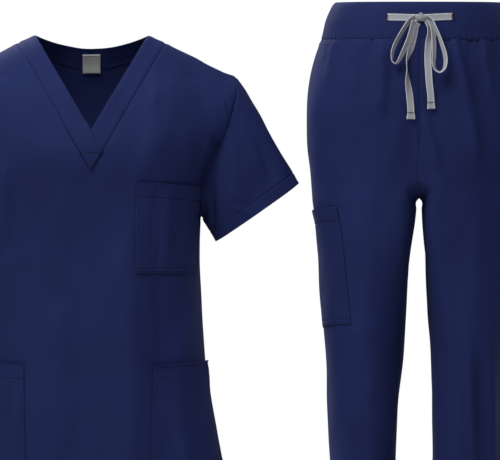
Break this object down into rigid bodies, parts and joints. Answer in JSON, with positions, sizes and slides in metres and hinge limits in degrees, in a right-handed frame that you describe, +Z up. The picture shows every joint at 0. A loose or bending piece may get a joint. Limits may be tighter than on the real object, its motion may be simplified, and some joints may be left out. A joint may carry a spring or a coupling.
{
  "type": "scrubs, v-neck top and drawstring trousers",
  "caption": "Hollow worn-form scrubs set: short-sleeved V-neck top with patch pockets beside drawstring trousers with a cargo pocket.",
  "frame": {"origin": "on the top's centre line, at the height of the neck points and in the plane of the shoulder seams, where a wearer's shoulders carry the top", "axes": "+Z up along the body, +X to the right as seen from the front towards the trousers, front facing -Y"},
  "size_m": [0.971, 0.2448, 1.052],
  "materials": {
    "navy_cloth": "matte fine twill",
    "navy_trim": "matte fine twill",
    "grey_tab": "matte woven",
    "tape": "matte flat woven tape"
  },
  "bodies": {
    "root": {"top_front": "navy_cloth", "top_back": "navy_cloth", "sleeve_left": "navy_cloth", "sleeve_right": "navy_cloth", "neckband_left": "navy_trim", "neckband_right": "navy_trim", "neckband_back": "navy_trim", "neck_label": "grey_tab", "chest_pocket": "navy_trim", "lower_pocket_left": "navy_trim", "lower_pocket_right": "navy_trim", "trouser_front_left": "navy_cloth", "trouser_front_right": "navy_cloth", "trouser_back_left": "navy_cloth", "trouser_back_right": "navy_cloth", "waistband": "navy_trim", "cargo_pocket": "navy_trim", "drawstring_run": "tape", "drawstring_knot": "tape", "drawstring_loop_left": "tape", "drawstring_loop_right": "tape", "drawstring_tail_left": "tape", "drawstring_tail_right": "tape"}
  },
  "joints": []
}
